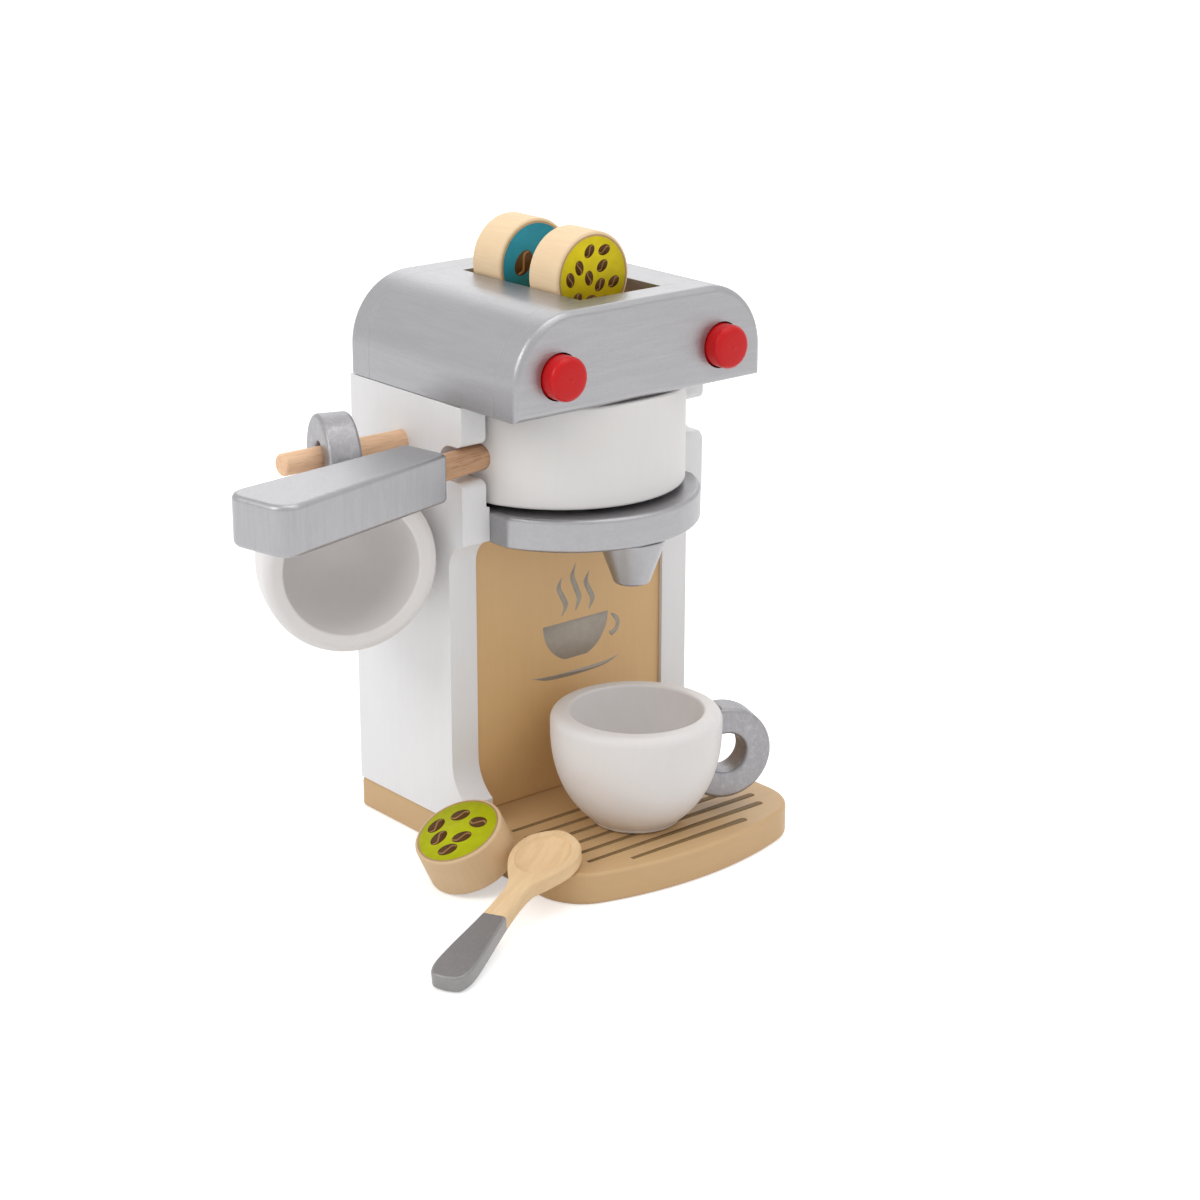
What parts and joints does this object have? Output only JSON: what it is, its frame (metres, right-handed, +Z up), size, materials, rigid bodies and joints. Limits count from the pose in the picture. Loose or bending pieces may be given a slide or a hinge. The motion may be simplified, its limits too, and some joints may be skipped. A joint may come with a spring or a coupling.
{
  "type": "toy coffee maker",
  "caption": "Wooden toy espresso machine: tray board, side panels, arched housing with pod slot and push buttons, swinging brew handle, spout, cups, pods and spoon.",
  "frame": {"origin": "middle of the base board's underside, on the surface that the toy stands on", "axes": "+Z up, -Y the front with the tray and buttons, +X to the right seen from the front"},
  "size_m": [0.2094, 0.15, 0.2258],
  "materials": {
    "white_paint": "white satin paint on wood",
    "silver_paint": "silver metallic satin paint on wood",
    "tan_paint": "tan satin paint on wood",
    "gold_paint": "gold-tan satin paint on wood",
    "beech": "bare turned beech",
    "birch": "bare light wood",
    "red_gloss": "red gloss paint on wood",
    "spring_steel": "bright spring wire"
  },
  "bodies": {
    "stand": {"base_board": "tan_paint", "left_side_panel": "white_paint", "right_side_panel": "white_paint", "front_panel": "gold_paint", "back_panel": "white_paint", "brew_plate": "silver_paint", "spout": "silver_paint", "drum_axle": "beech", "side_peg": "beech", "housing_front_board": "silver_paint", "housing_back_board": "silver_paint", "housing_hood": "silver_paint", "housing_floor": "birch", "pod_trough": "birch", "left_spring_block": "birch", "right_spring_block": "birch", "left_spring": "spring_steel", "right_spring": "spring_steel"},
    "brew_head": {"brew_drum": "white_paint", "handle_dowel": "beech", "brew_handle": "silver_paint"},
    "left_button": {"left_button": "red_gloss"},
    "right_button": {"right_button": "red_gloss"},
    "tray_cup": {"tray_cup": "white_paint", "tray_cup_handle": "silver_paint"},
    "hanging_cup": {"hanging_cup": "white_paint", "hanging_cup_handle": "silver_paint"},
    "yellow_pod": {"yellow_pod": "birch"},
    "blue_pod": {"blue_pod": "birch"},
    "green_pod": {"green_pod": "birch"},
    "spoon": {"spoon": "birch"}
  },
  "joints": [
    {"name": "brew_head_turn", "type": "hinge", "parent": "stand", "child": "brew_head", "pos_m": [0, 0.01455, 0.15], "axis": [0, 0, 1], "range_deg": [0, 158.6]},
    {"name": "left_button_press", "type": "slide", "parent": "stand", "child": "left_button", "axis": [0, 1, 0], "range_m": [0, 0.004], "stiffness_N_per_m": 150, "springref_m": -0.003, "deforming": ["left_spring"]},
    {"name": "right_button_press", "type": "slide", "parent": "stand", "child": "right_button", "axis": [0, 1, 0], "range_m": [0, 0.004], "stiffness_N_per_m": 150, "springref_m": -0.003, "deforming": ["right_spring"]},
    {"name": "tray_cup_lift", "type": "slide", "parent": "stand", "child": "tray_cup", "axis": [0, -0.8, 0.6], "range_m": [0, 0.12]},
    {"name": "hanging_cup_pull", "type": "slide", "parent": "stand", "child": "hanging_cup", "axis": [-1, 0, 0], "range_m": [0, 0.05]},
    {"name": "yellow_pod_lift", "type": "slide", "parent": "stand", "child": "yellow_pod", "axis": [0, 0, 1], "range_m": [0, 0.03]},
    {"name": "blue_pod_lift", "type": "slide", "parent": "stand", "child": "blue_pod", "axis": [0, 0, 1], "range_m": [0, 0.03]},
    {"name": "green_pod_lift", "type": "slide", "parent": "stand", "child": "green_pod", "axis": [0, 0, 1], "range_m": [0, 0.05]},
    {"name": "spoon_lift", "type": "slide", "parent": "stand", "child": "spoon", "axis": [0, 0, 1], "range_m": [0, 0.05]}
  ]
}
